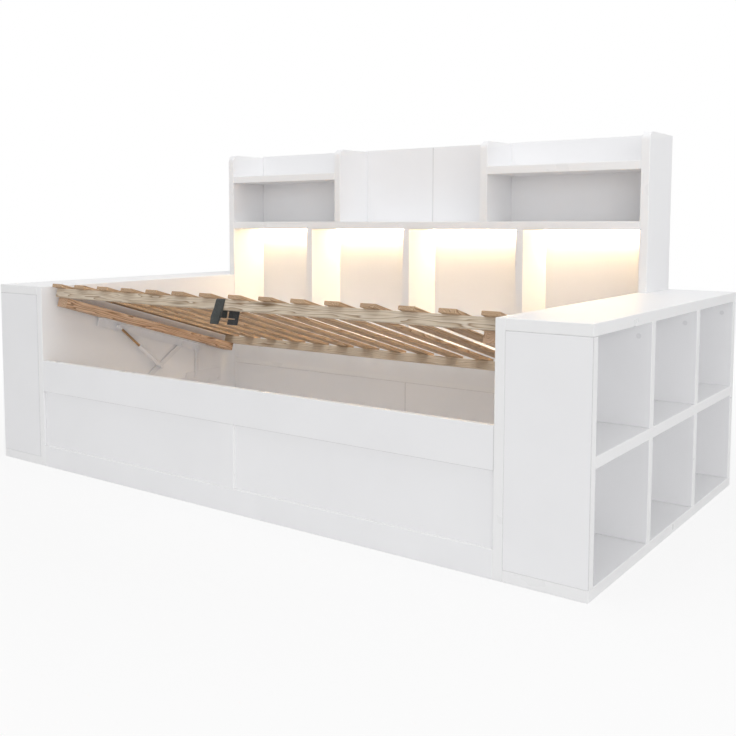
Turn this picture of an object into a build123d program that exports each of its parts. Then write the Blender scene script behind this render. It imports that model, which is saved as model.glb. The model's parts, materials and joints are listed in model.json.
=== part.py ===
from build123d import *
from math import sin, cos, tan, atan2, degrees, radians, hypot
import os

os.makedirs("parts", exist_ok=True)

# Storage daybed. Units are millimetres, Z is up and the open front looks along -Y.
# X is the long way of the bed. The origin is on the floor, midway along and midway front to back.

# space for the mattress
clear_length = 1928        # between the two side panels
clear_depth = 1040         # from the front rail to the back of the storage box

# boards
side_thick = 29            # side panels of the bed
panel_thick = 30           # upright boards of the bookcases and of the headboard
shelf_thick = 32           # lying boards of the bookcases and of the headboard
edge_break = 1.4           # bevel along every white board's edges
wood_break = 1             # bevel along the edges of the base's timber

# bookcases, one at each end
bookcase_width = 236
bookcase_height = 694
total_depth = 1300

# front of the storage box
rail_thick = 20
rail_height = 411          # top of the front
top_rail_width = 120
bottom_rail_width = 81
stile_width = 68
recess = 9                 # how far the field panels lie behind the frame
field_thick = 9
groove_depth = 6           # grooves of rails and stile that hold the field panels
groove_gap = 0.5           # air behind a panel's edge in its groove

# storage box
back_thick = 20
back_seam_height = 278     # where the lower back boards meet the back rail
back_hole_radius = 3.5     # fixing holes at the ends of the back rail
back_hole_depth = 12
back_hole_from_side = 13
back_hole_above_seam = 23
floor_thick = 12
batten_height = 20
batten_width = 60

# headboard
headboard_side_thick = 30
headboard_height = 1251
back_panel_thick = 15
back_panel_rise = 5        # back panels above the headboard's sides
back_panel_inset = 17      # back panels in front of the sides' rear edges
bay_floor_thick = 32
long_shelf_top = 942
cubby_top_thick = 30
cubby_top_below = 99       # from the sides' tops to the cubby tops
bay_divider_spacing = 508  # middle divider to an outer one
cubby_divider_inside = 338 # middle of the bed to a cubby divider
side_corner_radius = 30
led_width = 12
led_thick = 2.5
led_from_back = 6          # from the strip to the back panel
led_notch_gap = 1.5
led_end_gap = 4

# slat base, lifted at the front
base_tilt = 16.4           # photographed angle above the closed position
lifted_front = (47, 704.5) # distance behind the front face and height of the slats' front top edge
closed_front = (30, 391)   # the same edge with the base shut
slat_count = 15
slat_width = 56
slat_thick = 12.5
slat_length = 1020
slat_past_rail = 4.8       # the outer slats reach this far past the ends of the long rails
base_end_gap = 14          # long rails clear of the side panels
long_rail_thick = 20
long_rail_height = 34
front_overhang = 22        # slat ends past the front long rail
back_overhang = 20
cross_rail_width = 55
cross_rail_height = 34
cross_rail_start = 38      # from the slats' front ends to the cross rails
cross_rail_end = 35        # from the cross rails to the slats' back ends

# pull strap and its tail
strap_x = -76
strap_width = 38
strap_thick = 2
strap_drop = 98            # below the slats' top face
tail_x = -35
tail_size = (56, 4, 66)
tail_top = 26
tail_slot = (34, 5)

# lifting gear, one set at each end
plate_thick = 3
plate_bottom = 205
plate_top = 269
plate_middle = 246         # top of the plate between its raised ends
plate_back = 960
plate_end_gap = 26         # plate in front of the front pivot
plate_front_lug = 64       # raised front end, behind the front pivot
plate_rear_lug = 60        # raised rear end, in front of the lever's head
plate_slope = 10           # run of the step at the rear end
plate_front_slope = 81     # run of the slope at the front end
plate_corner = 4
layer_gap = 0.4            # between the flat bars that slide past each other
arm_thick = 4
arm_width = 22
crank_width = 19           # upright part of the cranked lever
eye_radius = 12
pivot_radius = 4
running_gap = 0.05
rivet_gap = 0.02
head_radius = 8
head_thick = 2
head_break = 0.6
bar_front = 247            # along the base, from the slats' front ends
bar_back = 835
bar_depth = 35             # upright flange
bar_foot = 35              # lying flange under the cross rail
bar_thick = 3
bar_bend = 1               # inner radius of the angle's bend
pivot_drop = 101           # pivots below the slats' top face
rear_pivot = 820           # along the base, from the slats' front ends
front_pivot = 728
strut_pivot = 349
strut_pivot_drop = 99
lever_reach = 220          # from the chord of a moving pivot to the fixed one
link_reach = 300
lever_heel = 6             # heel of the cranked lever below its fixed pivot
free_hole_radius = 7       # hole of the bar round the front link's pin
free_head_radius = 10
strut_on_link = 143        # from the fixed pivot of the link to the strut's foot
strut_in = 12.2            # strut's centre line from the bar's inner face
cylinder_radius = 9
cylinder_length = 161      # from the strut's foot to the mouth of the cylinder
bore_length = 112
rod_radius = 5
rod_inside = 20
rod_gap = 0.3
strut_eye_radius = 8
strut_eye_half = 6
strut_neck_radius = 5.5

# screws and fittings
screw_head_radius = 5
screw_head_thick = 2
bar_screws_at = (300, 414, 611, 829)
plate_screws_at = (500, 560, 885, 940)
plate_screw_above = 14     # above the plate's lower edge
cam_radius = 7.5
cam_proud = 1
cam_from_edge = 38
cam_below_top = 41
rest_block = (34, 50, 60)  # block on the side panel that the shut base rests on
rest_block_in = 12         # behind the front end of the cross rail
rest_gap = 0.4

# places that follow from the sizes above, front face of the bed at y = 0 before centring
half_clear = clear_length / 2
half_side = half_clear + side_thick
half_head = half_side - headboard_side_thick
half_total = half_side + bookcase_width
storage_back = rail_thick + clear_depth
back_panel_y = total_depth - back_panel_inset - back_panel_thick
shelf_depth = back_panel_y - storage_back
back_panel_height = headboard_height + back_panel_rise
cubby_top_underside = headboard_height - cubby_top_below - cubby_top_thick
shelf_underside = long_shelf_top - shelf_thick
bay_floor_top = rail_height + bay_floor_thick
top_underside = bookcase_height - shelf_thick
opening_height = (bookcase_height - 3 * shelf_thick) / 2
mid_shelf_z = shelf_thick + opening_height
cubby_depth = (total_depth - 4 * panel_thick) / 3
middle = total_depth / 2


def board(x0, x1, y0, y1, z0, z1, bevel=edge_break):
    """A flat board between two corners, with every edge slightly broken."""
    with BuildPart() as piece:
        with Locations(((x0 + x1) / 2, (y0 + y1) / 2 - middle, (z0 + z1) / 2)):
            Box(abs(x1 - x0), abs(y1 - y0), abs(z1 - z0))
        chamfer(piece.edges(), bevel)
    return piece.part


def save(shape, name):
    """Name a piece and write it to its own file."""
    shape.label = name
    export_step(shape, f"parts/{name}.step")


def group(shapes, name):
    """Several separate equal pieces that are kept in one file."""
    save(Compound(label=name, children=list(shapes)), name)


# Bookcases

for side, name in ((-1, "left"), (1, "right")):
    inner, outer = side * half_side, side * half_total
    save(board(inner, outer, 0, total_depth, top_underside, bookcase_height), f"bookcase_{name}_top")
    save(board(inner, outer, 0, total_depth, 0, shelf_thick), f"bookcase_{name}_base")
    save(board(inner, outer, panel_thick, total_depth - panel_thick,
               mid_shelf_z, mid_shelf_z + shelf_thick), f"bookcase_{name}_middle_shelf")
    save(board(inner, outer, 0, panel_thick, shelf_thick, top_underside), f"bookcase_{name}_front")
    save(board(inner, outer, total_depth - panel_thick, total_depth, shelf_thick, top_underside),
         f"bookcase_{name}_rear")
    starts = [panel_thick + cubby_depth * k + panel_thick * (k - 1) for k in (1, 2)]
    for row, z0, z1 in (("upper", mid_shelf_z + shelf_thick, top_underside), ("lower", shelf_thick, mid_shelf_z)):
        group([board(inner, outer, y, y + panel_thick, z0, z1) for y in starts],
              f"bookcase_{name}_{row}_dividers")

# covers of the cam fittings, on the front face of each upright that carries a top
cam_faces = [panel_thick + cubby_depth * k + panel_thick * (k - 1) for k in (1, 2, 3)]
covers = []
for side in (-1, 1):
    for face in cam_faces:
        for across in (half_side + cam_from_edge, half_total - cam_from_edge):
            with BuildPart() as cover:
                with BuildSketch(Plane.XZ.offset(middle - face)):
                    with Locations((side * across, top_underside - cam_below_top)):
                        Circle(cam_radius)
                extrude(amount=cam_proud)
                chamfer(cover.faces().sort_by(Axis.Y)[0].edges(), cam_proud * 0.4)
            covers.append(cover.part)
group(covers, "cam_covers")

# Storage box

for side, name in ((-1, "left"), (1, "right")):
    save(board(side * half_clear, side * half_side, 0, storage_back, 0, bookcase_height), f"bed_side_{name}")
    save(board(0, side * half_head, storage_back, storage_back + back_thick, 0, back_seam_height),
         f"storage_back_board_{name}")

# the front is framed: field panels stand in grooves of the rails and the stile
field_low, field_high = bottom_rail_width, rail_height - top_rail_width
for name, z0, z1, groove_z in (("front_top_rail", field_high, rail_height, field_high),
                               ("front_bottom_rail", 0, field_low, field_low)):
    with BuildPart() as rail:
        add(board(-half_clear, half_clear, 0, rail_thick, z0, z1))
        with Locations((0, recess + field_thick / 2 - middle, groove_z)):
            Box(2 * half_clear, field_thick, 2 * groove_depth, mode=Mode.SUBTRACT)
    save(rail.part, name)

with BuildPart() as stile:
    add(board(-stile_width / 2, stile_width / 2, 0, rail_thick, field_low, field_high))
    with Locations([(side * stile_width / 2, recess + field_thick / 2 - middle, (field_low + field_high) / 2)
                    for side in (-1, 1)]):
        Box(2 * groove_depth, field_thick, field_high - field_low, mode=Mode.SUBTRACT)
save(stile.part, "front_stile")

in_groove = groove_depth - groove_gap
for side, name in ((-1, "left"), (1, "right")):
    save(board(side * (stile_width / 2 - in_groove), side * half_clear, recess, recess + field_thick,
               field_low - in_groove, field_high + in_groove), f"front_field_panel_{name}")

with BuildPart() as back_rail:
    add(board(-half_head, half_head, storage_back, storage_back + back_thick, back_seam_height, rail_height))
    with BuildSketch(Plane.XZ.offset(middle - storage_back)):
        with Locations([(side * (half_clear - back_hole_from_side), back_seam_height + back_hole_above_seam)
                        for side in (-1, 1)]):
            Circle(back_hole_radius)
    extrude(amount=-back_hole_depth, mode=Mode.SUBTRACT)
save(back_rail.part, "storage_back_rail")
group([board(x0, x1, rail_thick, storage_back, batten_height, batten_height + floor_thick)
       for x0, x1 in ((-half_clear, 0), (0, half_clear))], "storage_floor")
batten_places = (rail_thick, (rail_thick + storage_back - batten_width) / 2, storage_back - batten_width)
group([board(-half_clear, half_clear, y, y + batten_width, 0, batten_height) for y in batten_places],
      "floor_battens")

# Headboard, which stands between the bookcases behind the storage box

for side, name in ((-1, "left"), (1, "right")):
    x0, x1 = sorted((side * half_head, side * half_side))
    with BuildPart() as headboard_side:
        with BuildSketch(Plane.YZ.offset(x0)) as outline:
            with Locations((storage_back - middle, 0)):
                Rectangle(total_depth - storage_back, headboard_height, align=(Align.MIN, Align.MIN))
            fillet(outline.vertices().group_by(Axis.Y)[-1].sort_by(Axis.X)[0], side_corner_radius)
        extrude(amount=headboard_side_thick)
        chamfer(headboard_side.faces().filter_by(Axis.X).edges(), edge_break)
    save(headboard_side.part, f"headboard_side_{name}")

    save(board(side * cubby_divider_inside + side * panel_thick, side * half_head, storage_back, back_panel_y,
               cubby_top_underside, cubby_top_underside + cubby_top_thick), f"cubby_top_{name}")
    save(board(0, side * half_head, back_panel_y, back_panel_y + back_panel_thick, rail_height,
               back_panel_height), f"headboard_back_{name}")

    x0 = min(side * cubby_divider_inside, side * (cubby_divider_inside + panel_thick))
    with BuildPart() as cubby_divider:
        with BuildSketch(Plane.YZ.offset(x0)) as outline:
            with Locations((storage_back - middle, long_shelf_top)):
                Rectangle(shelf_depth, headboard_height - long_shelf_top, align=(Align.MIN, Align.MIN))
            fillet(outline.vertices().group_by(Axis.Y)[-1].sort_by(Axis.X)[0], side_corner_radius)
        extrude(amount=panel_thick)
        chamfer(cubby_divider.faces().filter_by(Axis.X).edges(), edge_break)
    save(cubby_divider.part, f"cubby_divider_{name}")

save(board(-half_head, half_head, storage_back, back_panel_y, shelf_underside, long_shelf_top), "headboard_shelf")
save(board(-half_head, half_head, storage_back, back_panel_y, rail_height, bay_floor_top), "headboard_bay_floor")

# one light strip runs under the long shelf, through a notch in each bay divider
led_y1 = back_panel_y - led_from_back
led_y0 = led_y1 - led_width
save(board(-half_head + led_end_gap, half_head - led_end_gap, led_y0, led_y1, shelf_underside - led_thick,
           shelf_underside, 0.3), "led_strip")
for x, name in ((-bay_divider_spacing, "left"), (0, "middle"), (bay_divider_spacing, "right")):
    with BuildPart() as bay_divider:
        add(board(x - panel_thick / 2, x + panel_thick / 2, storage_back, back_panel_y, bay_floor_top,
                  shelf_underside))
        notch_y0 = led_y0 - led_notch_gap
        with Locations((x, (notch_y0 + back_panel_y) / 2 - middle, shelf_underside)):
            Box(panel_thick * 2, back_panel_y - notch_y0, 2 * (led_thick + led_notch_gap), mode=Mode.SUBTRACT)
    save(bay_divider.part, f"bay_divider_{name}")

# Slat base. Along it, s runs from the slats' front ends to the back and n is square to the slats,
# zero on their top face.

tilt = radians(base_tilt)
base_plane = Plane(origin=(0, lifted_front[0] - middle, lifted_front[1]), x_dir=(1, 0, 0),
                   z_dir=(0, sin(tilt), cos(tilt)))
long_rail_top = -slat_thick
cross_rail_top = long_rail_top - long_rail_height
base_underside = cross_rail_top - cross_rail_height


def lifted(s, drop):
    """Place (y, z) of a point on the lifted base."""
    return (lifted_front[0] + s * cos(tilt) - drop * sin(tilt), lifted_front[1] - s * sin(tilt) - drop * cos(tilt))


def closed(s, drop):
    """Place (y, z) of the same point with the base shut."""
    return (closed_front[0] + s, closed_front[1] - drop)


def base_board(x0, x1, s0, s1, n0, n1, bevel=wood_break):
    """A board that belongs to the slat base, given along the base."""
    with BuildPart() as piece:
        with BuildSketch(base_plane.offset(n0)):
            with Locations(((x0 + x1) / 2, (s0 + s1) / 2)):
                Rectangle(x1 - x0, s1 - s0)
        extrude(amount=n1 - n0)
        chamfer(piece.edges(), bevel)
    return piece.part


rail_half = half_clear - base_end_gap
outer_slat = rail_half + slat_past_rail - slat_width / 2
slat_pitch = 2 * outer_slat / (slat_count - 1)
slat_centres = [k * slat_pitch - outer_slat for k in range(slat_count)]
group([base_board(x - slat_width / 2, x + slat_width / 2, 0, slat_length, -slat_thick, 0) for x in slat_centres],
      "slats")
back_rail_end = slat_length - back_overhang
save(base_board(-rail_half, rail_half, front_overhang, front_overhang + long_rail_thick, cross_rail_top,
                long_rail_top), "base_front_rail")
save(base_board(-rail_half, rail_half, back_rail_end - long_rail_thick, back_rail_end, cross_rail_top,
                long_rail_top), "base_back_rail")
for side, name in ((-1, "left"), (1, "right")):
    x0, x1 = sorted((side * rail_half, side * (rail_half - cross_rail_width)))
    save(base_board(x0, x1, cross_rail_start, slat_length - cross_rail_end, base_underside, cross_rail_top),
         f"base_cross_rail_{name}")

# pull strap: over the front long rail, flat on its face and hanging below it
strap_x0, strap_x1 = strap_x - strap_width / 2, strap_x + strap_width / 2
face_s = front_overhang
rear_s = front_overhang + long_rail_thick
with BuildPart() as strap:
    with BuildSketch(Plane(origin=base_plane.from_local_coords((strap_x0, 0, 0)), x_dir=base_plane.y_dir,
                           z_dir=(1, 0, 0))):
        with BuildLine():
            Polyline((face_s, -strap_drop), (face_s, long_rail_top), (rear_s, long_rail_top),
                     (rear_s, cross_rail_top), (rear_s + strap_thick, cross_rail_top),
                     (rear_s + strap_thick, long_rail_top + strap_thick),
                     (face_s - strap_thick, long_rail_top + strap_thick), (face_s - strap_thick, -strap_drop),
                     close=True)
        make_face()
    extrude(amount=strap_width)
save(strap.part, "pull_strap")

with BuildPart() as tail:
    tail_s = rear_s + strap_thick
    add(base_board(tail_x - tail_size[0] / 2, tail_x + tail_size[0] / 2, tail_s, tail_s + tail_size[1],
                   -tail_top - tail_size[2], -tail_top, 0.6))
    with BuildSketch(base_plane.offset(-tail_top - tail_size[2] * 0.7)):
        with Locations((tail_x - tail_size[0] / 2, tail_s + tail_size[1] / 2)):
            Rectangle(2 * tail_slot[0], 2 * tail_size[1])
    extrude(amount=tail_slot[1], mode=Mode.SUBTRACT)
save(tail.part, "strap_tail")

# Lifting gear. Each fixed pivot lies on the line square to the chord that its moving pivot travels,
# so the base reaches both its lifted and its closed place.


def fixed_pivot(s, drop, reach):
    (y1, z1), (y0, z0) = lifted(s, drop), closed(s, drop)
    span = hypot(y1 - y0, z1 - z0)
    return ((y0 + y1) / 2 - reach * (z1 - z0) / span, (z0 + z1) / 2 + reach * (y1 - y0) / span)


lever_foot = fixed_pivot(rear_pivot, pivot_drop, lever_reach)
link_foot = fixed_pivot(front_pivot, pivot_drop, link_reach)
lever_head = lifted(rear_pivot, pivot_drop)
link_head = lifted(front_pivot, pivot_drop)
strut_head = lifted(strut_pivot, strut_pivot_drop)
link_angle = atan2(link_head[1] - link_foot[1], link_head[0] - link_foot[0])
strut_foot = (link_foot[0] + strut_on_link * cos(link_angle), link_foot[1] + strut_on_link * sin(link_angle))
strut_angle = atan2(strut_head[1] - strut_foot[1], strut_head[0] - strut_foot[0])
strut_length = hypot(strut_head[0] - strut_foot[0], strut_head[1] - strut_foot[1])

# layers across the gear, from the side panel inwards
plate_x = (half_clear, half_clear - plate_thick)
arm_x = (plate_x[1] - layer_gap, plate_x[1] - layer_gap - arm_thick)
bar_x = (arm_x[1] - layer_gap, arm_x[1] - layer_gap - bar_thick)
fixed_head_x = (arm_x[1] - layer_gap, arm_x[1] - layer_gap - head_thick)
free_head_x = (bar_x[1] - layer_gap, bar_x[1] - layer_gap - head_thick)
strut_x = bar_x[1] - strut_in
eye_x = (strut_x + strut_eye_half, strut_x - strut_eye_half)
heel = (lever_head[0], lever_foot[1] - lever_heel)


def slot_face(start, end, width):
    """Outline of a bar with rounded ends, drawn in the open sketch."""
    with Locations(((start[0] + end[0]) / 2 - middle, (start[1] + end[1]) / 2)):
        SlotCenterToCenter(hypot(end[0] - start[0], end[1] - start[1]), width,
                           rotation=degrees(atan2(end[1] - start[1], end[0] - start[0])))


def disc(at, radius, mode=Mode.ADD):
    """A circle about a place (y, z), drawn in the open sketch."""
    with Locations((at[0] - middle, at[1])):
        Circle(radius, mode=mode)


def turned_pin(at, steps, side):
    """A turned pin across the bed, given as steps of (radius, from x, to x)."""
    with BuildPart() as pin:
        for radius, x0, x1 in steps:
            with BuildSketch(Plane.YZ.offset(min(side * x0, side * x1))):
                disc(at, radius)
            extrude(amount=abs(x1 - x0))
        chamfer(pin.faces().sort_by(Axis.X)[0 if side > 0 else -1].edges(), head_break)
    return pin.part


plates, levers, links, bars, cylinders, rods = [], [], [], [], [], []
plate_pins, link_pins, bar_pins, bar_screws, plate_screws, blocks = [], [], [], [], [], []

for side in (-1, 1):
    # base plate, screwed to the side panel
    plate_front = link_foot[0] - plate_end_gap
    with BuildPart() as plate:
        with BuildSketch(Plane.YZ.offset(min(side * plate_x[0], side * plate_x[1]))) as outline:
            with BuildLine():
                Polyline([(y - middle, z) for y, z in (
                    (plate_front, plate_bottom), (plate_back, plate_bottom), (plate_back, plate_top),
                    (lever_head[0] - plate_rear_lug, plate_top),
                    (lever_head[0] - plate_rear_lug - plate_slope, plate_middle),
                    (link_foot[0] + plate_front_lug + plate_front_slope, plate_middle),
                    (link_foot[0] + plate_front_lug, link_foot[1] + eye_radius),
                    (plate_front, link_foot[1] + eye_radius))], close=True)
            make_face()
            fillet(outline.vertices(), plate_corner)
        extrude(amount=plate_thick)
    plates.append(plate.part)

    # cranked rear lever, upright behind and turned forward to its foot
    with BuildPart() as lever:
        with BuildSketch(Plane.YZ.offset(min(side * arm_x[0], side * arm_x[1]))):
            slot_face(lever_head, heel, crank_width)
            slot_face(heel, lever_foot, arm_width)
            for at in (lever_head, lever_foot):
                disc(at, eye_radius)
            for at in (lever_head, lever_foot):
                disc(at, pivot_radius + running_gap, Mode.SUBTRACT)
        extrude(amount=arm_thick)
    levers.append(lever.part)

    # straight front link
    with BuildPart() as link:
        with BuildSketch(Plane.YZ.offset(min(side * arm_x[0], side * arm_x[1]))):
            slot_face(link_foot, link_head, arm_width)
            disc(link_foot, pivot_radius + running_gap, Mode.SUBTRACT)
            for at in (link_head, strut_foot):
                disc(at, pivot_radius + rivet_gap, Mode.SUBTRACT)
        extrude(amount=arm_thick)
    links.append(link.part)

    # angle bar under the cross rail: the upright flange carries the pivots
    with BuildPart() as bar:
        xs = [side * x for x in (bar_x[0], bar_x[1], bar_x[0] - bar_foot)]
        bar_plane = Plane(origin=base_plane.from_local_coords((0, bar_front, 0)), x_dir=(1, 0, 0),
                          z_dir=base_plane.y_dir)
        with BuildSketch(bar_plane) as angle:
            with BuildLine():
                Polyline([(xs[0], -base_underside), (xs[2], -base_underside), (xs[2], -base_underside + bar_thick),
                          (xs[1], -base_underside + bar_thick), (xs[1], -base_underside + bar_depth),
                          (xs[0], -base_underside + bar_depth)], close=True)
            make_face()
            fillet(angle.vertices().sort_by_distance((xs[0], -base_underside))[0], bar_bend + bar_thick)
            fillet(angle.vertices().sort_by_distance((xs[1], -base_underside + bar_thick))[0], bar_bend)
        extrude(amount=bar_back - bar_front)
        with BuildSketch(Plane.YZ.offset(min(side * bar_x[0], side * bar_x[1]) - layer_gap)):
            disc(lever_head, pivot_radius + rivet_gap)
            disc(link_head, free_hole_radius)
        extrude(amount=bar_thick + 2 * layer_gap, mode=Mode.SUBTRACT)
    bars.append(bar.part)

    # pins: the base plate's carry the lever and the link, the link's carry the bar and the strut's
    # foot, and the bar's carry the lever's head and the strut's rod
    for at in (lever_foot, link_foot):
        plate_pins.append(turned_pin(at, ((pivot_radius, plate_x[1], fixed_head_x[0]),
                                          (head_radius, *fixed_head_x)), side))
    link_pins.append(turned_pin(link_head, ((pivot_radius, arm_x[0], free_head_x[0]),
                                            (free_head_radius, *free_head_x)), side))
    link_pins.append(turned_pin(strut_foot, ((pivot_radius, arm_x[0], arm_x[1]),
                                             (pivot_radius * 1.5, arm_x[1], eye_x[0] + layer_gap),
                                             (pivot_radius, eye_x[0] + layer_gap, eye_x[1] - layer_gap),
                                             (pivot_radius * 1.5, eye_x[1] - layer_gap,
                                              eye_x[1] - layer_gap - head_thick)), side))
    bar_pins.append(turned_pin(lever_head, ((pivot_radius, arm_x[0], bar_x[1]),
                                            (head_radius, bar_x[1], bar_x[1] - head_thick)), side))
    bar_pins.append(turned_pin(strut_head, ((pivot_radius, bar_x[1], eye_x[0] + layer_gap),), side))

    # gas strut: the cylinder turns on the link's pin and the rod's eye sits at the bar's
    strut_plane = Plane(origin=(side * strut_x, strut_foot[0] - middle, strut_foot[1]),
                        x_dir=(1, 0, 0), z_dir=(0, cos(strut_angle), sin(strut_angle)))
    with BuildPart() as cylinder:
        with BuildSketch(strut_plane.offset(strut_eye_radius * 1.5)):
            Circle(cylinder_radius)
        extrude(amount=cylinder_length - strut_eye_radius * 1.5)
        chamfer(cylinder.edges().filter_by(GeomType.CIRCLE), 1.2)
        with BuildSketch(strut_plane):
            Circle(strut_neck_radius)
        extrude(amount=strut_eye_radius * 1.6)
        with BuildSketch(Plane.YZ.offset(side * strut_x - strut_eye_half)):
            disc(strut_foot, strut_eye_radius)
        extrude(amount=2 * strut_eye_half)
        with BuildSketch(Plane.YZ.offset(side * strut_x - 2 * strut_eye_half)):
            disc(strut_foot, pivot_radius + running_gap)
        extrude(amount=4 * strut_eye_half, mode=Mode.SUBTRACT)
        with BuildSketch(strut_plane.offset(cylinder_length - bore_length)):
            Circle(rod_radius + rod_gap)
        extrude(amount=bore_length, mode=Mode.SUBTRACT)
    cylinders.append(cylinder.part)

    with BuildPart() as rod:
        with BuildSketch(strut_plane.offset(cylinder_length - rod_inside)):
            Circle(rod_radius)
        extrude(amount=strut_length - cylinder_length + rod_inside)
        with BuildSketch(strut_plane.offset(strut_length - strut_eye_radius * 1.8)):
            Circle(strut_neck_radius)
        extrude(amount=strut_eye_radius * 1.5)
        with BuildSketch(Plane.YZ.offset(side * strut_x - strut_eye_half)):
            disc(strut_head, strut_eye_radius)
        extrude(amount=2 * strut_eye_half)
    rods.append(rod.part)

    # screws: the bar's on its upright flange, the plate's along its lower edge
    for s in bar_screws_at:
        at = lifted(s, -base_underside + bar_thick + bar_bend + screw_head_radius)
        bar_screws.append(turned_pin(at, ((screw_head_radius, bar_x[1], bar_x[1] - screw_head_thick),), side))
    for y in plate_screws_at:
        plate_screws.append(turned_pin((y, plate_bottom + plate_screw_above),
                                       ((screw_head_radius, plate_x[1], plate_x[1] - screw_head_thick),), side))

    # block that the shut base rests on
    rest_top = closed_front[1] + base_underside - rest_gap
    rest_y = closed_front[0] + cross_rail_start + rest_block_in
    blocks.append(board(side * half_clear, side * (half_clear - rest_block[0]), rest_y, rest_y + rest_block[1],
                        rest_top - rest_block[2], rest_top))

group(plates, "lift_base_plates")
group(levers, "rear_levers")
group(links, "front_links")
group(bars, "lift_angle_bars")
group(rods, "strut_rods")
group(cylinders, "strut_cylinders")
group(plate_pins, "base_plate_pins")
group(link_pins, "front_link_pins")
group(bar_pins, "angle_bar_pins")
group(bar_screws, "angle_bar_screws")
group(plate_screws, "base_plate_screws")
group(blocks, "rest_blocks")

# travel of the gear from the lifted to the closed place, for the joints
closed_lever_head, closed_link_head = closed(rear_pivot, pivot_drop), closed(front_pivot, pivot_drop)
closed_strut_head = closed(strut_pivot, strut_pivot_drop)


def turn(foot, head):
    return degrees(atan2(head[1] - foot[1], head[0] - foot[0]))


lever_turn = turn(lever_foot, closed_lever_head) - turn(lever_foot, lever_head)
link_turn = turn(link_foot, closed_link_head) - turn(link_foot, link_head)
closed_link_angle = radians(turn(link_foot, closed_link_head))
closed_strut_foot = (link_foot[0] + strut_on_link * cos(closed_link_angle),
                     link_foot[1] + strut_on_link * sin(closed_link_angle))
strut_turn = turn(closed_strut_foot, closed_strut_head) - turn(strut_foot, strut_head)
strut_shift = hypot(closed_strut_head[0] - closed_strut_foot[0],
                    closed_strut_head[1] - closed_strut_foot[1]) - strut_length

print("lever foot", lever_foot[0] - middle, lever_foot[1], "turn", lever_turn)
print("lever head", lever_head[0] - middle, lever_head[1], "base turn on lever", base_tilt - lever_turn)
print("link foot", link_foot[0] - middle, link_foot[1], "turn", link_turn)
print("strut foot", strut_foot[0] - middle, strut_foot[1], "turn on link", strut_turn - link_turn)
print("strut axis", cos(strut_angle), sin(strut_angle), "length", strut_length, "shift", strut_shift)
print("strut x", strut_x)
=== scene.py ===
import json
import math
import bpy
import bmesh
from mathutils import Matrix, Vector

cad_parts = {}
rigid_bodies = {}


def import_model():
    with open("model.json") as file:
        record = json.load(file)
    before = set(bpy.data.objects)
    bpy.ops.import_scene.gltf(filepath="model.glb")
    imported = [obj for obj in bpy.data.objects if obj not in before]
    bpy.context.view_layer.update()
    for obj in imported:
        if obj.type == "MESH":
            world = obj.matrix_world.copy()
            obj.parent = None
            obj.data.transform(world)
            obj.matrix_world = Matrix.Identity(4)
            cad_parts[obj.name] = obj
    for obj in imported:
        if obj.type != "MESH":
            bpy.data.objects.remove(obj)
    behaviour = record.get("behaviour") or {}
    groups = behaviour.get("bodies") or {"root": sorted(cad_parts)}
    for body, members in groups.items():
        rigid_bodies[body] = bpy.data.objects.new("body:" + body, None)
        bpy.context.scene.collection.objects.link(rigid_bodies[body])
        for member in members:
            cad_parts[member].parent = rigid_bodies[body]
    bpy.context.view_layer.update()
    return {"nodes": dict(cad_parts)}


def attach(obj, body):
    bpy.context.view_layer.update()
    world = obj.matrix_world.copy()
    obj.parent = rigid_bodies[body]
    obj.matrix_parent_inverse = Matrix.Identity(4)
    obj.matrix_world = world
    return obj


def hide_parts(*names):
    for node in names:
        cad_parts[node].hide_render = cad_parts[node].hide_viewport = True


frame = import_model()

# Storage daybed with a lifted slat base. Lengths are metres, or millimetres where a name says so.
nodes = frame["nodes"]
print("frame loaded:", len(nodes), "nodes")


# Materials

def toLinear(hexColour):
    values = [int(hexColour[i:i + 2], 16) / 255 for i in (0, 2, 4)]
    return tuple(v / 12.92 if v <= 0.04045 else ((v + 0.055) / 1.055) ** 2.4 for v in values) + (1.0,)


def addNode(tree, kind, inputs=None, **settings):
    node = tree.nodes.new(kind)
    for name, value in settings.items():
        setattr(node, name, value)
    for name, value in (inputs or {}).items():
        if isinstance(value, bpy.types.NodeSocket):
            tree.links.new(value, node.inputs[name])
        else:
            node.inputs[name].default_value = value
    return node


def newMaterial(name):
    material = bpy.data.materials.new(name)
    material.use_nodes = True
    tree = material.node_tree
    tree.nodes.clear()
    return material, tree


def finishMaterial(tree, shader):
    addNode(tree, "ShaderNodeOutputMaterial", {"Surface": shader.outputs[0]})


def rampBetween(tree, factor, stops):
    ramp = addNode(tree, "ShaderNodeValToRGB", {"Fac": factor})
    elements = ramp.color_ramp.elements
    while len(elements) < len(stops):
        elements.new(0.5)
    for element, (place, colour) in zip(elements, stops):
        element.position = place
        element.color = toLinear(colour)
    return ramp


perMm = 1000.0  # turns a pattern's size in millimetres into a texture scale


def objectPlace(tree):
    return addNode(tree, "ShaderNodeTexCoord").outputs["Object"]


def number(tree, operation, first, second=0.0):
    return addNode(tree, "ShaderNodeMath", {0: first, 1: second}, operation=operation).outputs[0]


def vector(tree, operation, first, second):
    return addNode(tree, "ShaderNodeVectorMath", {0: first, 1: second}, operation=operation).outputs[0]


def noise(tree, place, sizeMm, detail):
    return addNode(tree, "ShaderNodeTexNoise",
                   {"Vector": place, "Scale": perMm / sizeMm, "Detail": detail}).outputs


def mapRange(tree, value, low, high, start=0.0, end=1.0):
    return addNode(tree, "ShaderNodeMapRange", {"Value": value, "From Min": start, "From Max": end,
                                                "To Min": low, "To Max": high}).outputs["Result"]


def bumpFrom(tree, height, strength, depthMm):
    return addNode(tree, "ShaderNodeBump", {"Height": height, "Strength": strength,
                                            "Distance": depthMm / 1000}).outputs["Normal"]


def finishSurface(tree, inputs):
    finishMaterial(tree, addNode(tree, "ShaderNodeBsdfPrincipled", inputs))


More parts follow.
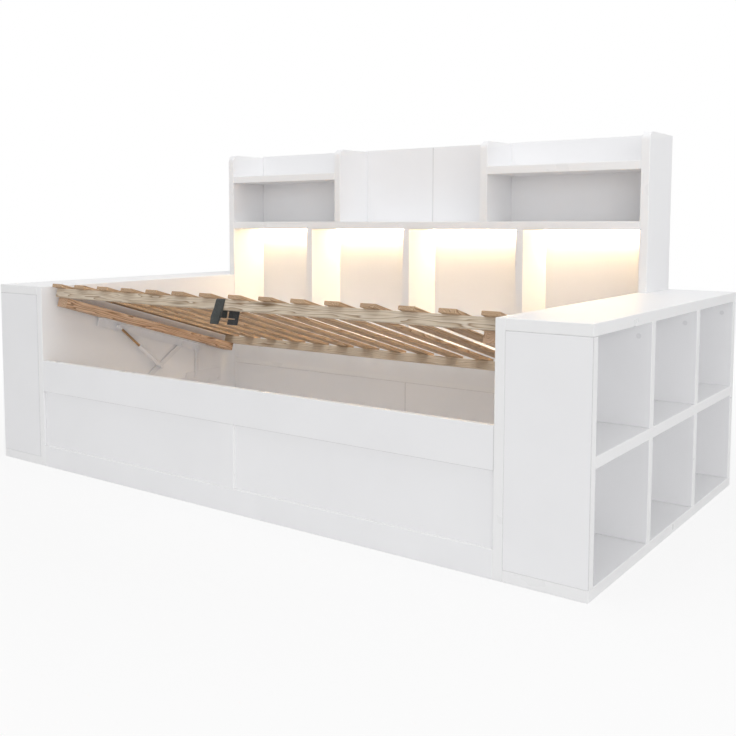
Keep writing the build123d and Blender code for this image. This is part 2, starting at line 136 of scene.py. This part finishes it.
# Melamine faced particle board, pressed smooth: an even cool white with a satin sheen that wanders
# a little, as the press leaves it. The press texture is drawn coarser than the real 0.3 mm, so that
# it shows in close views.
whiteBoardLook = {"light": "F9F9FA", "shade": "F7F7F8", "cloudMm": 180, "grainMm": 1.4,
                  "roughLow": 0.34, "roughHigh": 0.44, "bumpMm": 0.02}

# Edge band of the boards: thin plastic tape, a touch whiter and smoother than the faces.
edgeBandLook = {"light": "FAFAFA", "shade": "F9F9F9", "cloudMm": 120, "grainMm": 2.0,
                "roughLow": 0.27, "roughHigh": 0.33, "bumpMm": 0.01}

# Broken edges where boards meet: a pale grey, painted shade that stands for the fine shadow lines seen at the
# joints.
paintedJointShadeLook = {"light": "D9D8D9", "shade": "D3D2D3", "cloudMm": 60, "grainMm": 2.0,
                 "roughLow": 0.5, "roughHigh": 0.6, "bumpMm": 0.02}

boardPattern = {"shadeUntil": 0.35, "lightFrom": 0.65, "sheenStart": 0.3, "sheenEnd": 0.7,
                "cloudDetail": 3.0, "grainDetail": 2.0, "bump": 0.12, "ior": 1.5}


def makeWhiteBoard(name, look):
    material, tree = newMaterial(name)
    where = objectPlace(tree)
    cloud = noise(tree, where, look["cloudMm"], boardPattern["cloudDetail"])["Fac"]
    grain = noise(tree, where, look["grainMm"], boardPattern["grainDetail"])["Fac"]
    colour = rampBetween(tree, cloud, ((boardPattern["shadeUntil"], look["shade"]),
                                       (boardPattern["lightFrom"], look["light"])))
    rough = mapRange(tree, cloud, look["roughLow"], look["roughHigh"],
                     boardPattern["sheenStart"], boardPattern["sheenEnd"])
    finishSurface(tree, {"Base Color": colour.outputs["Color"], "Roughness": rough,
                         "Normal": bumpFrom(tree, grain, boardPattern["bump"], look["bumpMm"]),
                         "IOR": boardPattern["ior"]})
    return material


# Planed softwood: year rings cut along the board show as long lines and arches, with darker late
# wood, fine fibres and a few knots. The tone changes from board to board.
pineLooks = {
    "palePine": {"rings": ((0.0, "DED1BF"), (0.5, "D6C7B1"), (0.8, "BFAB92"), (0.93, "9A8268"),
                           (1.0, "D9CBB8")),
                 "knot": "7F6548", "ringMm": 5, "tone": 0.07, "spacing": 0.5},
    "slatPine": {"rings": ((0.0, "D0B596"), (0.5, "C2A282"), (0.8, "A98864"), (0.93, "816044"),
                           (1.0, "C6A98A")),
                 "knot": "7A5A3E", "ringMm": 4.5, "tone": 0.10, "spacing": 0.1324},
    "orangePine": {"rings": ((0.0, "DDC0A5"), (0.45, "CFAC8D"), (0.75, "B18B6B"), (0.92, "805E44"),
                             (1.0, "D6B79B")),
                   "knot": "66462F", "ringMm": 4.5, "tone": 0.05, "spacing": 0.1324}}
baseTilt = math.radians(16.4)
slatTopLevel = (0, 0.7774, -0.5056)  # brings the slats' front top edge to the origin once levelled

# The pith lies at a place of its own for each board, from pithLow to pithLow + pithSpread. Patterns
# are drawn out along the board, and wander bends the rings by up to its own length.
woodCut = {"pithLow": (-0.025, -0.025, 0.012), "pithSpread": (0.05, 0.05, 0.03), "drawnOut": 0.1,
           "wanderMm": 26, "wander": 0.032, "fibreMm": 2, "fibreStart": 0.3, "fibreEnd": 0.7,
           "fibreDark": 0.9, "fibreLight": 1.07, "fibreBump": 0.35, "fibreDepthMm": 0.4,
           "knotEveryMm": 60, "knotHeart": 0.05, "knotRim": 0.12, "knotCover": 0.8,
           "roughness": 0.62, "ior": 1.48}


def makePine(name, look, along):
    material, tree = newMaterial(name)
    alongY = along == "Y"
    across = "X" if alongY else "Y"
    stretch = (1.0, woodCut["drawnOut"], 1.0) if alongY else (woodCut["drawnOut"], 1.0, 1.0)
    section = (1.0, 0.0, 1.0) if alongY else (0.0, 1.0, 1.0)
    level = addNode(tree, "ShaderNodeMapping",
                    {"Vector": objectPlace(tree), "Rotation": (baseTilt, 0, 0),
                     "Location": slatTopLevel}).outputs["Vector"]
    # every board has its own number, and from that its own cut of the log
    parts = addNode(tree, "ShaderNodeSeparateXYZ", {"Vector": level}).outputs
    board = number(tree, "ROUND", number(tree, "DIVIDE", parts[across], look["spacing"]))
    back = number(tree, "MULTIPLY", board, -look["spacing"])
    centred = addNode(tree, "ShaderNodeCombineXYZ", {across: back}).outputs[0]
    chance = addNode(tree, "ShaderNodeTexWhiteNoise", {"W": board}, noise_dimensions="1D").outputs
    pith = vector(tree, "MULTIPLY", chance["Color"], woodCut["pithSpread"])
    pith = vector(tree, "ADD", pith, woodCut["pithLow"])
    local = vector(tree, "ADD", vector(tree, "ADD", level, centred), pith)
    # rings follow the distance from the pith, bent by a slow wander
    drawn = vector(tree, "ADD", vector(tree, "MULTIPLY", local, stretch), chance["Color"])
    wander = noise(tree, drawn, woodCut["wanderMm"], 2.0)["Color"]
    wander = vector(tree, "MULTIPLY", wander, (woodCut["wander"],) * 3)
    bent = vector(tree, "MULTIPLY", vector(tree, "ADD", local, wander), section)
    reach = addNode(tree, "ShaderNodeVectorMath", {0: bent}, operation="LENGTH").outputs["Value"]
    rings = number(tree, "FRACT", number(tree, "MULTIPLY", reach, perMm / look["ringMm"]))
    ringWood = rampBetween(tree, rings, look["rings"]).outputs["Color"]
    # knots about 12 mm across, drawn out along the board
    knots = addNode(tree, "ShaderNodeTexVoronoi",
                    {"Vector": drawn, "Scale": perMm / woodCut["knotEveryMm"]}).outputs["Distance"]
    knotMask = mapRange(tree, knots, woodCut["knotCover"], 0.0, woodCut["knotHeart"], woodCut["knotRim"])
    # inputs 0, 6 and 7 and output 2 are a colour mix's share, first and second colour, and result
    wood = addNode(tree, "ShaderNodeMix", {0: knotMask, 6: ringWood, 7: toLinear(look["knot"])},
                   data_type="RGBA").outputs[2]
    fibrePlace = vector(tree, "MULTIPLY", drawn, stretch)
    fibre = noise(tree, fibrePlace, woodCut["fibreMm"], 3.0)["Fac"]
    fibreTone = mapRange(tree, fibre, woodCut["fibreDark"], woodCut["fibreLight"],
                         woodCut["fibreStart"], woodCut["fibreEnd"])
    boardTone = mapRange(tree, chance["Value"], 1 - look["tone"], 1 + look["tone"] * 0.5)
    toned = addNode(tree, "ShaderNodeHueSaturation",
                    {"Color": wood, "Value": number(tree, "MULTIPLY", fibreTone, boardTone)})
    finishSurface(tree, {"Base Color": toned.outputs["Color"], "Roughness": woodCut["roughness"],
                         "Normal": bumpFrom(tree, fibre, woodCut["fibreBump"], woodCut["fibreDepthMm"]),
                         "IOR": woodCut["ior"]})
    return material


# Powder coated steel: a slightly pebbled skin, softer than the boards' sheen.
steelCoatLook = {"colour": "F0F0F2", "low": "E9E9EC", "pebbleMm": 1.2, "bump": 0.3, "bumpMm": 0.2,
                 "roughness": 0.42, "ior": 1.5}


def makeCoatedSteel(name, look):
    material, tree = newMaterial(name)
    pebble = noise(tree, objectPlace(tree), look["pebbleMm"], 1.0)["Fac"]
    colour = rampBetween(tree, pebble, ((0.3, look["low"]), (0.6, look["colour"])))
    finishSurface(tree, {"Base Color": colour.outputs["Color"], "Roughness": look["roughness"],
                         "Normal": bumpFrom(tree, pebble, look["bump"], look["bumpMm"]),
                         "IOR": look["ior"]})
    return material


# Ground and turned metal: fine marks that stretch its glints.
rodLook = {"colour": "A98A6A", "roughness": 0.3, "markMm": 0.8, "stretch": (1, 1, 1)}
zincLook = {"colour": "F2F2F3", "roughness": 0.45, "markMm": 0.6, "stretch": (1, 4, 4)}
metalMarks = {"smooth": 0.7, "rough": 1.3, "bump": 0.1, "bumpMm": 0.1}


def makeMetal(name, look):
    material, tree = newMaterial(name)
    drawn = addNode(tree, "ShaderNodeMapping", {"Vector": objectPlace(tree), "Scale": look["stretch"]})
    marks = noise(tree, drawn.outputs["Vector"], look["markMm"], 2.0)["Fac"]
    rough = mapRange(tree, marks, look["roughness"] * metalMarks["smooth"],
                     look["roughness"] * metalMarks["rough"])
    finishSurface(tree, {"Base Color": toLinear(look["colour"]), "Metallic": 1.0, "Roughness": rough,
                         "Normal": bumpFrom(tree, marks, metalMarks["bump"], metalMarks["bumpMm"])})
    return material


# Polyester webbing, woven: rows of short ribs that catch a dull light.
webbingLook = {"colour": "191D1C", "light": "353A38"}
tailWebbingLook = {"colour": "0D0E0F", "light": "232527"}
weave = {"ribMm": 1.3, "ribsInUnit": 4, "gap": 0.04, "ribLong": 0.9, "ribWide": 0.35, "dim": 0.7,
         "bump": 0.6, "bumpMm": 0.4, "roughness": 0.75, "sheen": 0.25, "sheenRoughness": 0.5}


def makeWebbing(name, look):
    material, tree = newMaterial(name)
    level = addNode(tree, "ShaderNodeMapping", {"Vector": objectPlace(tree), "Rotation": (baseTilt, 0, 0)})
    parts = addNode(tree, "ShaderNodeSeparateXYZ", {"Vector": level.outputs["Vector"]}).outputs
    down = number(tree, "SUBTRACT", parts["Y"], parts["Z"])
    flat = addNode(tree, "ShaderNodeCombineXYZ", {"X": parts["X"], "Y": down}).outputs[0]
    ribs = addNode(tree, "ShaderNodeTexBrick",
                   {"Vector": flat, "Color1": (1, 1, 1, 1), "Color2": (weave["dim"],) * 3 + (1,),
                    "Mortar": (0, 0, 0, 1), "Scale": perMm / weave["ribMm"] / weave["ribsInUnit"],
                    "Mortar Size": weave["gap"], "Brick Width": weave["ribLong"],
                    "Row Height": weave["ribWide"]}).outputs["Color"]
    tint = rampBetween(tree, ribs, ((0.0, look["colour"]), (1.0, look["light"])))
    finishSurface(tree, {"Base Color": tint.outputs["Color"], "Roughness": weave["roughness"],
                         "Normal": bumpFrom(tree, ribs, weave["bump"], weave["bumpMm"]),
                         "Sheen Weight": weave["sheen"], "Sheen Roughness": weave["sheenRoughness"]})
    return material


# Moulded plastic caps: plain, faintly mottled by the mould.
capLook = {"colour": "EFEFF0", "low": "E8E8EA", "mottleMm": 3, "roughness": 0.45}


def makePlastic(name, look):
    material, tree = newMaterial(name)
    mottle = noise(tree, objectPlace(tree), look["mottleMm"], 2.0)["Fac"]
    tint = rampBetween(tree, mottle, ((0.3, look["low"]), (0.7, look["colour"])))
    finishSurface(tree, {"Base Color": tint.outputs["Color"], "Roughness": look["roughness"]})
    return material


# Warm white light strip behind a milky cover: brighter over each diode.
ledLook = {"cover": "FFF4E4", "roughness": 0.3, "colour": "FFDCAA", "diodeMm": 16.7,
           "strength": 100.0, "between": 76.0}


def makeLitStrip(name, look):
    material, tree = newMaterial(name)
    # a wave texture of scale 1 repeats ten times in pi units, so this gives one band for each diode
    wave = addNode(tree, "ShaderNodeTexWave", {"Vector": objectPlace(tree),
                                               "Scale": perMm / look["diodeMm"] * math.pi / 10})
    power = mapRange(tree, wave.outputs["Fac"], look["between"], look["strength"])
    finishSurface(tree, {"Base Color": toLinear(look["cover"]), "Roughness": look["roughness"],
                         "Emission Color": toLinear(look["colour"]), "Emission Strength": power})
    return material


finishes = {
    "whiteMelamine": makeWhiteBoard("whiteMelamineSatin", whiteBoardLook),
    "edgeBand": makeWhiteBoard("edgeBandWhitePvc", edgeBandLook),
    # fine grey lines of painted shade along the joints of some boards
    "paintedJointShade": makeWhiteBoard("paintedJointShadeGrey", paintedJointShadeLook),
    "slatPine": makePine("planedPineSlats", pineLooks["slatPine"], "Y"),
    "railPine": makePine("planedPineLongRails", pineLooks["palePine"], "X"),
    "crossPine": makePine("planedOrangePine", pineLooks["orangePine"], "Y"),
    "coatedSteel": makeCoatedSteel("powderCoatedSteelWhite", steelCoatLook),
    "rod": makeMetal("bronzedSteelRod", rodLook),
    "zinc": makeMetal("brightZincTurned", zincLook),
    "webbing": makeWebbing("wovenPolyesterGrey", webbingLook),
    "tailWebbing": makeWebbing("wovenPolyesterBlack", tailWebbingLook),
    "capPlastic": makePlastic("mouldedCapWhite", capLook),
    "litStrip": makeLitStrip("warmLightStrip", ledLook)}


def finishOf(name):
    if name == "slats":
        return "slatPine"
    if name in ("base_front_rail", "base_back_rail"):
        return "railPine"
    if name.startswith("base_cross_rail") or name in ("rest_blocks", "floor_battens"):
        return "crossPine"
    if name in ("lift_base_plates", "rear_levers", "front_links", "lift_angle_bars",
                "strut_cylinders"):
        return "coatedSteel"
    if name == "strut_rods":
        return "rod"
    if name in ("base_plate_pins", "front_link_pins", "angle_bar_pins", "angle_bar_screws",
                "base_plate_screws"):
        return "zinc"
    return {"pull_strap": "webbing", "strap_tail": "tailWebbing", "cam_covers": "capPlastic",
            "led_strip": "litStrip"}.get(name, "whiteMelamine")


# Places on the lifted slat base

baseFront = {"y": 0.047 - 0.650, "z": 0.7045}  # front top edge of the slats


def onBase(x, along, up):
    # along runs from the slats' front ends to the back, up is square to them
    return Vector((x, baseFront["y"] + along * math.cos(baseTilt) + up * math.sin(baseTilt),
                   baseFront["z"] - along * math.sin(baseTilt) + up * math.cos(baseTilt)))


# Which faces of a board are its edges, told by their width and the way they look
edgeFaces = {"thinnest": 0.005, "thickest": 0.033, "broken": 0.0016, "square": 0.95, "looksUp": 0.3}
# the second slot holds the edge band, the third the painted shade of the joints
bandSlot, paintedShadeSlot = 1, 2


def bandEdges(node, rule):
    # long narrow faces of a board carry its edge band
    for face in node.data.polygons:
        places = [node.data.vertices[i].co for i in face.vertices]
        spans = sorted(max(p[k] for p in places) - min(p[k] for p in places) for k in range(3))
        if rule["thinnest"] < spans[1] < rule["thickest"]:
            face.material_index = bandSlot
        elif spans[1] < rule["broken"] and max(abs(part) for part in face.normal) < rule["square"]:
            # a broken edge gets painted shade, a grey line; one that looks up stays white, as if lit from
            # above, save on a bookcase, as in the photograph
            grey = face.normal.z < rule["looksUp"] or "bookcase" in node.name
            face.material_index = paintedShadeSlot if grey else bandSlot


# boards whose joints get painted shade, fine grey lines along them
shadedJointBoards = ("storage_back", "headboard_back", "front_top_rail", "bookcase_left_front",
                 "bookcase_right_front")
for name, node in nodes.items():
    node.data.materials.clear()
    node.data.materials.append(finishes[finishOf(name)])
    if finishOf(name) == "whiteMelamine":
        node.data.materials.append(finishes["edgeBand"])
        joint = name.startswith(shadedJointBoards)
        node.data.materials.append(finishes["paintedJointShade" if joint else "edgeBand"])
        bandEdges(node, edgeFaces)

# only the sliding length of a strut's rod is bronze, its end fitting is coated
strutHead = {"along": 0.349, "down": -0.099, "reach": 0.0165}
rods = nodes["strut_rods"]
rods.data.materials.append(finishes["coatedSteel"])
headPlace = onBase(0, strutHead["along"], strutHead["down"])
for face in rods.data.polygons:
    if math.hypot(face.center.y - headPlace.y, face.center.z - headPlace.z) < strutHead["reach"]:
        face.material_index = 1
print("materials on all frame nodes")


def deselectAll():
    for piece in bpy.context.view_layer.objects:
        piece.select_set(False)


def applyPlace(piece):
    deselectAll()
    bpy.context.view_layer.objects.active = piece
    piece.select_set(True)
    bpy.ops.object.transform_apply(location=True, rotation=True, scale=True)


def applyModifiers(piece):
    deselectAll()
    bpy.context.view_layer.objects.active = piece
    piece.select_set(True)
    for modifier in list(piece.modifiers):
        bpy.ops.object.modifier_apply(modifier=modifier.name)


# Pull strap

# hang lists how far the free end stands forward of the rail, and its height, from its foot upwards
strapSizes = {"x": -0.076, "width": 0.038, "thick": 0.002, "railFront": 0.022, "railBack": 0.042,
              "railTop": -0.0125, "railFoot": -0.0465, "lean": 0.002, "leanBelow": -0.05,
              "hang": ((0.006, -0.098), (0.009, -0.074), (0.004, -0.046)), "lift": 0.001,
              "turnDown": 0.004, "turnBack": 0.003, "rounding": 0.0007, "smoothAngle": 40}


def makeStrap(sizes):
    t = sizes["thick"]
    front, back, top = sizes["railFront"] - t / 2, sizes["railBack"] + t / 2, sizes["railTop"] + t / 2
    # the free end hangs a little forward of the rail and leans to the left
    path = [(front - forward, up) for forward, up in sizes["hang"]]
    path += [(front - sizes["lift"], top - sizes["turnDown"]), (front + sizes["turnBack"], top),
             (back, top), (back, sizes["railFoot"])]
    deselectAll()
    bpy.ops.mesh.primitive_plane_add(size=1, location=(0, 0, 0))
    strap = bpy.context.active_object
    strap.name = "pullStrapWoven"
    bpy.ops.object.mode_set(mode="EDIT")
    mesh = bmesh.from_edit_mesh(strap.data)
    for vert in mesh.verts:  # the plane becomes the lowest stretch of the strap
        atFoot, side = vert.co.y < 0, 1 if vert.co.x > 0 else -1
        along, up = path[0] if atFoot else path[1]
        x = sizes["x"] - sizes["lean"] * (2 if atFoot else 1) + side * sizes["width"] / 2
        vert.co = onBase(x, along, up)
    for vert in mesh.verts:
        vert.select_set(False)
    lead = max(mesh.edges, key=lambda edge: sum(v.co.z for v in edge.verts))
    lead.select_set(True)
    bmesh.update_edit_mesh(strap.data)
    for (a0, u0), (a1, u1) in zip(path[1:], path[2:]):
        lean = sizes["lean"] if u0 < sizes["leanBelow"] else 0
        step = onBase(lean, a1, u1) - onBase(0, a0, u0)
        bpy.ops.mesh.extrude_region_move(TRANSFORM_OT_translate={"value": tuple(step)})
    bpy.ops.object.mode_set(mode="OBJECT")
    thicken = strap.modifiers.new("thickness", "SOLIDIFY")
    thicken.thickness = t
    thicken.offset = 0
    soften = strap.modifiers.new("rounding", "BEVEL")
    soften.width = sizes["rounding"]
    soften.segments = 3
    soften.limit_method = "ANGLE"
    applyModifiers(strap)
    bpy.ops.object.shade_smooth_by_angle(angle=math.radians(sizes["smoothAngle"]))
    strap.data.materials.append(finishes["webbing"])
    return strap


strap = makeStrap(strapSizes)
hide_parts("pull_strap")
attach(strap, "lift_base")
print("pull strap made")

# Strap tail, a folded stitched end behind the rail

tailSizes = {"x": -0.028, "width": 0.044, "thick": 0.004, "front": 0.044, "top": -0.026,
             "foot": -0.092, "slotWidth": 0.030, "slotHigh": 0.004, "slotDeep": 0.02,
             "slotShare": 0.3, "cuts": 5, "rounding": 0.0008, "smoothAngle": 40}


def makeTail(sizes):
    deselectAll()
    bpy.ops.mesh.primitive_cube_add(size=1, location=(0, 0, 0))
    tail = bpy.context.active_object
    tail.name = "strapTailFolded"
    mid = sizes["front"] + sizes["thick"] / 2
    middle, height = (sizes["top"] + sizes["foot"]) / 2, sizes["top"] - sizes["foot"]
    for vert in tail.data.vertices:
        vert.co = onBase(sizes["x"] + vert.co.x * sizes["width"], mid + vert.co.y * sizes["thick"],
                         middle + vert.co.z * height)
    bpy.ops.object.mode_set(mode="EDIT")
    bpy.ops.mesh.select_all(action="SELECT")
    bpy.ops.mesh.subdivide(number_cuts=sizes["cuts"])
    bpy.ops.object.mode_set(mode="OBJECT")
    cutter = onBase(sizes["x"] - sizes["width"] / 2, mid, sizes["foot"] + sizes["slotShare"] * height)
    bpy.ops.mesh.primitive_cube_add(size=1, location=cutter, rotation=(-baseTilt, 0, 0),
                                    scale=(sizes["slotWidth"] * 2, sizes["slotDeep"], sizes["slotHigh"]))
    slot = bpy.context.active_object
    cut = tail.modifiers.new("slot", "BOOLEAN")
    cut.object = slot
    cut.operation = "DIFFERENCE"
    cut.solver = "EXACT"
    soften = tail.modifiers.new("rounding", "BEVEL")
    soften.width = sizes["rounding"]
    soften.segments = 2
    soften.limit_method = "ANGLE"
    applyModifiers(tail)
    bpy.data.objects.remove(slot)
    bpy.ops.object.shade_smooth_by_angle(angle=math.radians(sizes["smoothAngle"]))
    tail.data.materials.append(finishes["tailWebbing"])
    return tail


tail = makeTail(tailSizes)
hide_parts("strap_tail")
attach(tail, "lift_base")
print("strap tail made")


# Screws of the angle bars and the base plates: rounded heads with a cross recess

screwSizes = {"radius": 0.005, "thick": 0.002, "recess": 0.0064, "recessWide": 0.0013,
              "recessDeep": 0.0013, "rounding": 0.0009, "smoothAngle": 35}
barScrews = {"x": 0.9522, "along": (0.300, 0.414, 0.611, 0.829), "down": -0.0895}
plateScrews = {"x": 0.960, "y": (-0.150, -0.090, 0.235, 0.290), "z": 0.219}


def makeScrewHead(place, side, sizes):
    deselectAll()
    bpy.ops.mesh.primitive_cylinder_add(vertices=32, radius=sizes["radius"], depth=sizes["thick"],
                                        location=place, rotation=(0, math.radians(90), 0))
    head = bpy.context.active_object
    applyPlace(head)
    soften = head.modifiers.new("rounding", "BEVEL")
    soften.width = sizes["rounding"]
    soften.segments = 3
    soften.limit_method = "ANGLE"
    cutters = []
    face = place - Vector((side * sizes["thick"] / 2, 0, 0))
    for quarter in (45, 135):
        bpy.ops.mesh.primitive_cube_add(size=1, location=face, rotation=(math.radians(quarter), 0, 0),
                                        scale=(sizes["recessDeep"] * 2, sizes["recess"], sizes["recessWide"]))
        cutters.append(bpy.context.active_object)
        cut = head.modifiers.new("recess", "BOOLEAN")
        cut.object = cutters[-1]
        cut.operation = "DIFFERENCE"
        cut.solver = "EXACT"
    applyModifiers(head)
    for cutter in cutters:
        bpy.data.objects.remove(cutter)
    return head


def makeScrews(name, places, sizes):
    heads = [makeScrewHead(place, side, sizes) for place, side in places]
    deselectAll()
    for head in heads:
        head.select_set(True)
    bpy.context.view_layer.objects.active = heads[0]
    bpy.ops.object.join()
    heads[0].name = name
    applyPlace(heads[0])
    bpy.ops.object.shade_smooth_by_angle(angle=math.radians(sizes["smoothAngle"]))
    heads[0].data.materials.append(finishes["zinc"])
    return heads[0]


barPlaces = [(onBase(side * barScrews["x"], along, barScrews["down"]), side)
             for side in (-1, 1) for along in barScrews["along"]]
barHeads = makeScrews("barScrewHeads", barPlaces, screwSizes)
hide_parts("angle_bar_screws")
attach(barHeads, "lift_base")
platePlaces = [(Vector((side * plateScrews["x"], y, plateScrews["z"])), side)
               for side in (-1, 1) for y in plateScrews["y"]]
plateHeads = makeScrews("plateScrewHeads", platePlaces, screwSizes)
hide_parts("base_plate_screws")
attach(plateHeads, "bed_case")
print("screw heads made")


# Floor, light and camera

# The paper glows white from fadeEnd outwards and keeps a faint shadow within fadeStart.
floorLook = {"size": 60, "drop": 0.0005, "paper": "F4F4F4", "fadeStart": 1.2, "fadeEnd": 3.2,
             "nearGlow": 0.8}


def makeFloor(look):
    deselectAll()
    bpy.ops.mesh.primitive_plane_add(size=look["size"], location=(0, 0, -look["drop"]))
    floor = bpy.context.active_object
    floor.name = "studioFloor"
    material, tree = newMaterial("paleStudioFloor")
    seen = addNode(tree, "ShaderNodeLightPath")
    paper = addNode(tree, "ShaderNodeBsdfDiffuse", {"Color": toLinear(look["paper"])})
    glow = addNode(tree, "ShaderNodeEmission", {"Color": (1, 1, 1, 1), "Strength": 1.0})
    reach = addNode(tree, "ShaderNodeVectorMath", {0: objectPlace(tree)}, operation="LENGTH")
    fade = mapRange(tree, reach.outputs["Value"], look["nearGlow"], 1.0, look["fadeStart"], look["fadeEnd"])
    share = number(tree, "MULTIPLY", seen.outputs["Is Camera Ray"], fade)
    mix = addNode(tree, "ShaderNodeMixShader", {0: share, 1: paper.outputs[0], 2: glow.outputs[0]})
    finishMaterial(tree, mix)
    floor.data.materials.append(material)


makeFloor(floorLook)

# Levels and places of the light are chosen so that the faces read as in the photograph.
worldLook = {"colour": "FBFBFC", "strength": 0.585}
lamps = {"softTop": {"place": (0.6, -0.8, 3.8), "target": (0, 0, 0.4), "size": (4.0, 3.2), "watts": 40.0},
         "softFront": {"place": (0.3, -6.0, 1.8), "target": (0, -0.2, 0.4), "size": (4.4, 2.4),
                       "watts": 2.0},
         "softRight": {"place": (6.0, -0.8, 2.0), "target": (1.2, 0, 0.4), "size": (3.6, 2.6),
                       "watts": 23.0},
         "softKey": {"place": (7.8, -9.0, 2.4), "target": (0, 0, 0.5), "size": (6.0, 4.5),
                     "watts": 195.0},
         "softLeft": {"place": (-4.6, -4.6, 2.2), "target": (-0.2, 0, 0.5), "size": (3.2, 2.6),
                      "watts": 6.0}}


def makeWorld(look):
    world = bpy.data.worlds.new("softStudio")
    bpy.context.scene.world = world
    world.use_nodes = True
    tree = world.node_tree
    tree.nodes.clear()
    # looked at straight, in a reflection or through something clear, the backdrop is plain white
    path = addNode(tree, "ShaderNodeLightPath").outputs
    seen = number(tree, "MAXIMUM", path["Is Camera Ray"], path["Is Glossy Ray"])
    seen = number(tree, "MAXIMUM", seen, path["Is Transmission Ray"])
    soft = addNode(tree, "ShaderNodeBackground", {"Color": toLinear(look["colour"]),
                                                  "Strength": look["strength"]})
    white = addNode(tree, "ShaderNodeBackground", {"Color": (1, 1, 1, 1), "Strength": 1.0})
    mix = addNode(tree, "ShaderNodeMixShader", {0: seen, 1: soft.outputs[0], 2: white.outputs[0]})
    addNode(tree, "ShaderNodeOutputWorld", {"Surface": mix.outputs[0]})


def makeAreaLight(name, lampLook):
    lamp = bpy.data.lights.new(name, "AREA")
    lamp.energy = lampLook["watts"]
    lamp.shape = "RECTANGLE"
    lamp.size, lamp.size_y = lampLook["size"]
    lampObject = bpy.data.objects.new(name, lamp)
    bpy.context.collection.objects.link(lampObject)
    lampObject.location = lampLook["place"]
    aim = Vector(lampLook["target"]) - Vector(lampLook["place"])
    lampObject.rotation_euler = aim.to_track_quat("-Z", "Y").to_euler()


makeWorld(worldLook)
for name, lampLook in lamps.items():
    makeAreaLight(name, lampLook)

# The camera stands as the photograph was taken: metres, degrees, and millimetres for the lens.
view = {"place": (2.0769, -2.7838, 0.9346), "down": 4.687, "turn": 36.648, "lens": 45.42,
        "sensor": 36, "shiftX": 0.0283, "shiftY": -0.0930, "reach": 100}
cameraData = bpy.data.cameras.new("photoView")
cameraData.sensor_width = view["sensor"]
cameraData.lens = view["lens"]
cameraData.shift_x, cameraData.shift_y = view["shiftX"], view["shiftY"]
cameraData.clip_end = view["reach"]
camera = bpy.data.objects.new("photoView", cameraData)
bpy.context.collection.objects.link(camera)
camera.location = view["place"]
camera.rotation_euler = (math.radians(90 - view["down"]), 0, math.radians(view["turn"]))
bpy.context.scene.camera = camera
bpy.context.scene.view_settings.view_transform = "Standard"
print("light and camera set")
